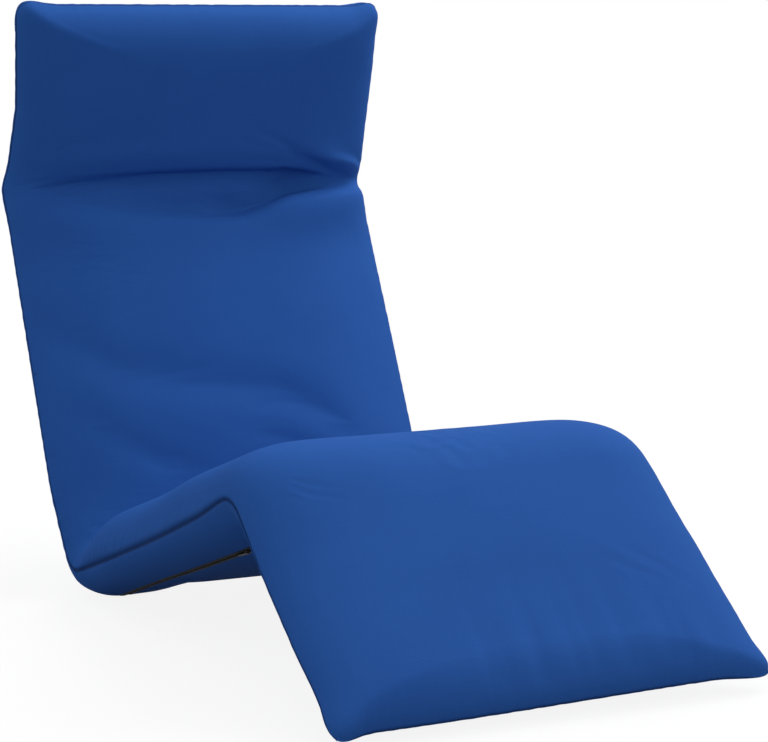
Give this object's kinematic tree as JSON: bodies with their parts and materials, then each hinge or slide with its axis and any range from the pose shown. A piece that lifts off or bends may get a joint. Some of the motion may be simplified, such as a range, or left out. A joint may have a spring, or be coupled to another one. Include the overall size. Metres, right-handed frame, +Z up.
{
  "type": "folding floor lounger",
  "caption": "Legless padded floor lounger whose headrest, backrest, seat and footrest fold at ratchet hinges on a hidden steel frame under a blue fabric cover.",
  "frame": {"origin": "middle of the footprint's box on the floor that the lounger stands on", "axes": "+X across toward the sitter's left, +Y from foot to head, +Z up"},
  "size_m": [0.56, 1.1392, 0.8236],
  "materials": {
    "cover_fabric": "matte",
    "foam": "matte",
    "strap_webbing": "matte",
    "zip_tape": "matte",
    "zip_metal": "satin",
    "frame_tube": "satin",
    "hinge_steel": "satin",
    "spring_steel": "satin",
    "rivet_steel": "satin"
  },
  "bodies": {
    "seat": {"seat_cover": "cover_fabric", "seat_foam": "foam", "hip_fold_cover": "cover_fabric", "hip_fold_foam": "foam", "knee_fold_cover": "cover_fabric", "knee_fold_foam": "foam", "zip_tape": "zip_tape", "zip_slider": "zip_metal", "seat_rail_left": "frame_tube", "seat_rail_right": "frame_tube", "seat_cross_rear": "frame_tube", "seat_cross_front": "frame_tube", "seat_straps": "strap_webbing", "seat_studs": "rivet_steel", "hip_case_left": "hinge_steel", "hip_case_right": "hinge_steel", "hip_springs": "spring_steel", "hip_pins": "rivet_steel", "knee_case_left": "hinge_steel", "knee_case_right": "hinge_steel", "knee_springs": "spring_steel", "knee_pins": "rivet_steel"},
    "backrest": {"back_cover": "cover_fabric", "back_foam": "foam", "neck_fold_cover": "cover_fabric", "neck_fold_foam": "foam", "back_rail_left": "frame_tube", "back_rail_right": "frame_tube", "back_cross_lower": "frame_tube", "back_cross_upper": "frame_tube", "back_straps": "strap_webbing", "back_studs": "rivet_steel", "hip_gear_left": "hinge_steel", "hip_gear_right": "hinge_steel", "neck_case_left": "hinge_steel", "neck_case_right": "hinge_steel", "neck_springs": "spring_steel", "neck_pins": "rivet_steel"},
    "headrest": {"head_cover": "cover_fabric", "head_foam": "foam", "head_hoop": "frame_tube", "head_studs": "rivet_steel", "neck_gear_left": "hinge_steel", "neck_gear_right": "hinge_steel"},
    "footrest": {"leg_cover": "cover_fabric", "leg_foam": "foam", "leg_hoop": "frame_tube", "leg_cross": "frame_tube", "leg_straps": "strap_webbing", "leg_studs": "rivet_steel", "knee_gear_left": "hinge_steel", "knee_gear_right": "hinge_steel"},
    "hip_pawl_left_body": {"hip_pawl_left": "hinge_steel"},
    "hip_pawl_right_body": {"hip_pawl_right": "hinge_steel"},
    "neck_pawl_left_body": {"neck_pawl_left": "hinge_steel"},
    "neck_pawl_right_body": {"neck_pawl_right": "hinge_steel"},
    "knee_pawl_left_body": {"knee_pawl_left": "hinge_steel"},
    "knee_pawl_right_body": {"knee_pawl_right": "hinge_steel"}
  },
  "joints": [
    {"name": "hip_fold", "type": "hinge", "parent": "seat", "child": "backrest", "pos_m": [0, 0.27978, 0.05], "axis": [1, 0, 0], "range_deg": [-84, 60], "deforming": ["hip_fold_cover", "hip_fold_foam"]},
    {"name": "neck_tilt", "type": "hinge", "parent": "backrest", "child": "headrest", "pos_m": [0, 0.51688, 0.55733], "axis": [1, 0, 0], "range_deg": [-40.5, 27], "deforming": ["neck_fold_cover", "neck_fold_foam"]},
    {"name": "knee_fold", "type": "hinge", "parent": "seat", "child": "footrest", "pos_m": [0, -0.27218, 0.24382], "axis": [1, 0, 0], "range_deg": [-56, 84], "deforming": ["knee_fold_cover", "knee_fold_foam"]},
    {"name": "hip_pawl_left_swing", "type": "hinge", "parent": "seat", "child": "hip_pawl_left_body", "pos_m": [0.22, 0.25179, 0.03969], "axis": [1, 0, 0], "range_deg": [-9, 0]},
    {"name": "hip_pawl_right_swing", "type": "hinge", "parent": "seat", "child": "hip_pawl_right_body", "pos_m": [-0.22, 0.25179, 0.03969], "axis": [1, 0, 0], "range_deg": [-9, 0]},
    {"name": "neck_pawl_left_swing", "type": "hinge", "parent": "backrest", "child": "neck_pawl_left_body", "pos_m": [0.22, 0.52435, 0.52845], "axis": [1, 0, 0], "range_deg": [-9, 0]},
    {"name": "neck_pawl_right_swing", "type": "hinge", "parent": "backrest", "child": "neck_pawl_right_body", "pos_m": [-0.22, 0.52435, 0.52845], "axis": [1, 0, 0], "range_deg": [-9, 0]},
    {"name": "knee_pawl_left_swing", "type": "hinge", "parent": "seat", "child": "knee_pawl_left_body", "pos_m": [0.22, -0.24418, 0.25413], "axis": [1, 0, 0], "range_deg": [-9, 0]},
    {"name": "knee_pawl_right_swing", "type": "hinge", "parent": "seat", "child": "knee_pawl_right_body", "pos_m": [-0.22, -0.24418, 0.25413], "axis": [1, 0, 0], "range_deg": [-9, 0]}
  ]
}
